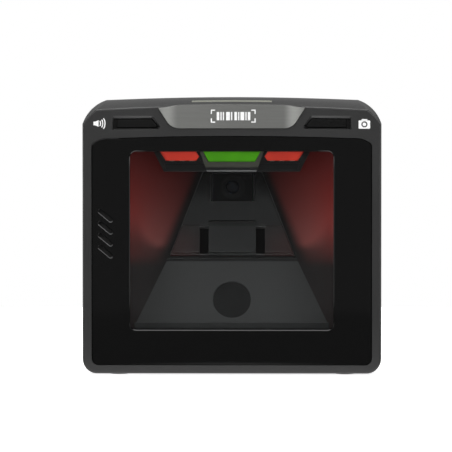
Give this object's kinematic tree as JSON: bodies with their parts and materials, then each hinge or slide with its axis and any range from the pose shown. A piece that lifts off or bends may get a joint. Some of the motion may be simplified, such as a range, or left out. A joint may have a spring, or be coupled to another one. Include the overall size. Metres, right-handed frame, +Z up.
{
  "type": "presentation barcode scanner",
  "caption": "Upright counter-top barcode scanner: dark rounded housing, glossy front mask with a recessed scan window, lit lens bar, nameplate, volume and snapshot keys, sockets in the back.",
  "frame": {"origin": "under the middle of the body, on the surface that the rubber feet stand on", "axes": "+Z up, +X to the right seen from the customer's side, +Y towards the back; the scan window faces -Y"},
  "size_m": [0.1534, 0.085, 0.1425],
  "materials": {
    "housing": "fine-textured moulded plastic",
    "mask": "polished",
    "pane": "clear, polished",
    "gasket": "closed-cell foam",
    "badge": "satin silver-grey",
    "light_pipe": "frosted, translucent",
    "key": "satin",
    "chamber": "matte black",
    "deck": "satin",
    "dark_window": "polished, passes near infrared only",
    "red_lens": "moulded, translucent red",
    "green_lens": "moulded, translucent green, lit",
    "seal": "matte",
    "foot": "matte",
    "insert": "knurled",
    "screw": "zinc plated",
    "circuit_board": "solder mask",
    "chip": "moulded",
    "capacitor": "satin",
    "shield": "tinned",
    "connector": "moulded",
    "socket": "moulded",
    "contact": "gold plated",
    "wire": "smooth jacket",
    "flat_cable": "polyimide film",
    "lens_barrel": "black anodised",
    "lens_glass": "coated",
    "camera": "moulded",
    "cloth": "woven mesh",
    "speaker_basket": "moulded",
    "cone": "treated paper",
    "light": "clear encapsulant"
  },
  "bodies": {
    "scanner": {"front_bezel": "housing", "rear_housing": "housing", "housing_seal": "seal", "nameplate": "badge", "status_light_pipe": "light_pipe", "front_mask": "mask", "scan_window": "pane", "window_gasket": "gasket", "speaker_mesh": "cloth", "speaker_gasket": "gasket", "speaker_frame": "speaker_basket", "speaker_cone": "cone", "optics_chamber": "chamber", "camera_deck": "deck", "sensor_window": "dark_window", "sensor_board": "circuit_board", "sensor_chip": "chip", "light_bar_housing": "chamber", "left_red_lens": "red_lens", "right_red_lens": "red_lens", "green_lens": "green_lens", "led_board": "circuit_board", "lighting_leds": "light", "camera_body": "camera", "camera_barrel": "lens_barrel", "camera_lens": "lens_glass", "camera_board": "circuit_board", "camera_bracket": "screw", "camera_screws": "screw", "volume_switch": "chip", "snapshot_switch": "chip", "brow_board": "circuit_board", "brow_leds": "light", "main_board": "circuit_board", "board_chips": "chip", "board_capacitors": "capacitor", "shield_can": "shield", "board_connectors": "connector", "host_port": "socket", "aux_port": "socket", "port_contacts": "contact", "camera_flex": "flat_cable", "speaker_cable": "wire", "brow_cable": "wire", "lighting_cable": "wire", "case_screws": "screw", "chamber_screws": "screw", "brow_screws": "screw", "board_screws": "screw", "deck_screws": "screw", "sensor_screws": "screw", "mounting_inserts": "insert", "rubber_feet": "foot"},
    "volume_button": {"volume_key": "key", "volume_plunger": "connector"},
    "snapshot_button": {"snapshot_key": "key", "snapshot_plunger": "connector"}
  },
  "joints": [
    {"name": "volume_key_press", "type": "slide", "parent": "scanner", "child": "volume_button", "axis": [0, 1, 0], "range_m": [0, 0.0008], "stiffness_N_per_m": 400, "springref_m": -0.0015},
    {"name": "snapshot_key_press", "type": "slide", "parent": "scanner", "child": "snapshot_button", "axis": [0, 1, 0], "range_m": [0, 0.0008], "stiffness_N_per_m": 400, "springref_m": -0.0015}
  ]
}
